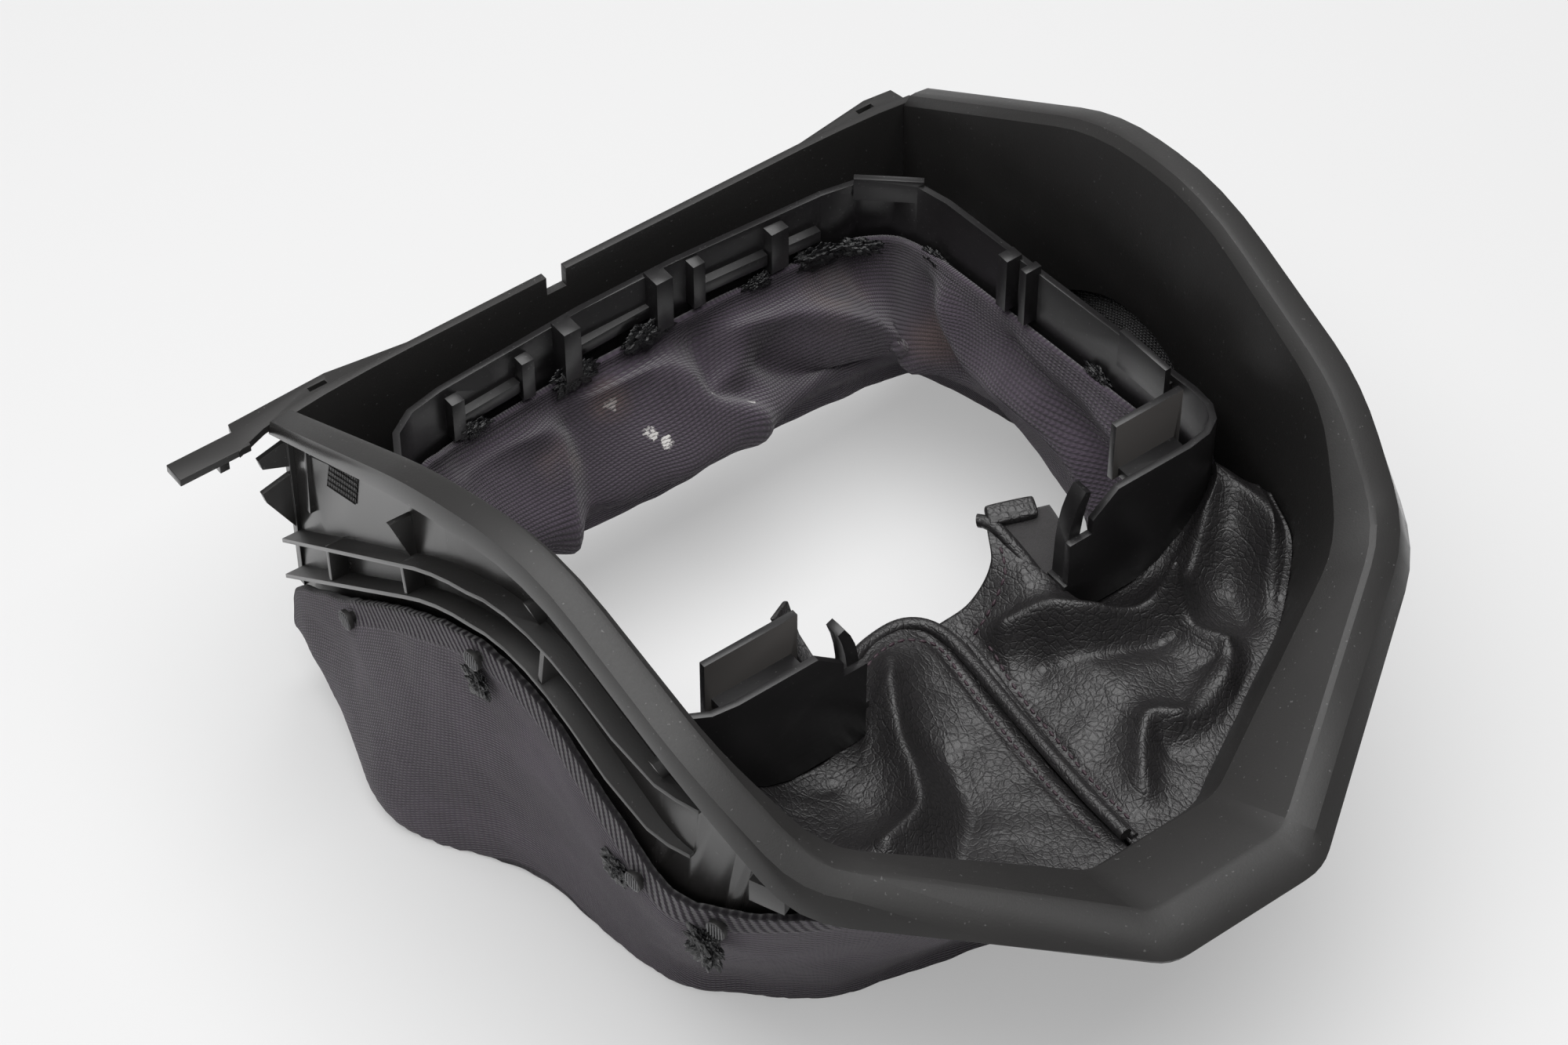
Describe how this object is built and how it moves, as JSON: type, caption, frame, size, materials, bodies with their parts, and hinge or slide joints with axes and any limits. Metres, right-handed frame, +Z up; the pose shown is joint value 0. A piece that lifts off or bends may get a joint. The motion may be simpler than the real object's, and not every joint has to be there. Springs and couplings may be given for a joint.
{
  "type": "steering column cover",
  "caption": "Plastic horseshoe surround and rear panel joined to a thin collar by a knitted and leather gaiter that closes the gap round a steering column.",
  "frame": {"origin": "middle of the overall box, on the surface that the gaiter rests on", "axes": "+Y from the closed end of the surround to the rear panel, +X to the right seen from the closed end, +Z up"},
  "size_m": [0.2674, 0.2788, 0.1552],
  "materials": {
    "grained_plastic": "fine grain, satin",
    "gloss_plastic": "smooth moulded, with melted weld marks",
    "knit": "fine ribbed knit, matt",
    "leather": "pebbled grain, soft sheen",
    "felt": "felt, matt",
    "melted_plastic": "melted and set, glossy"
  },
  "bodies": {
    "root": {"surround": "grained_plastic", "rear_cross_panel": "grained_plastic", "collar_frame": "gloss_plastic", "knit_gaiter_left": "knit", "knit_gaiter_right": "knit", "knit_gaiter_back": "knit", "knit_gaiter_front": "knit", "leather_apron_left": "leather", "leather_apron_right": "leather", "apron_seam_piping": "leather", "apron_hem_binding": "leather", "apron_tab_left": "leather", "felt_patch_right": "felt", "melted_dab_rear": "melted_plastic", "melted_dab_middle": "melted_plastic", "melted_dab_front": "melted_plastic"}
  },
  "joints": []
}
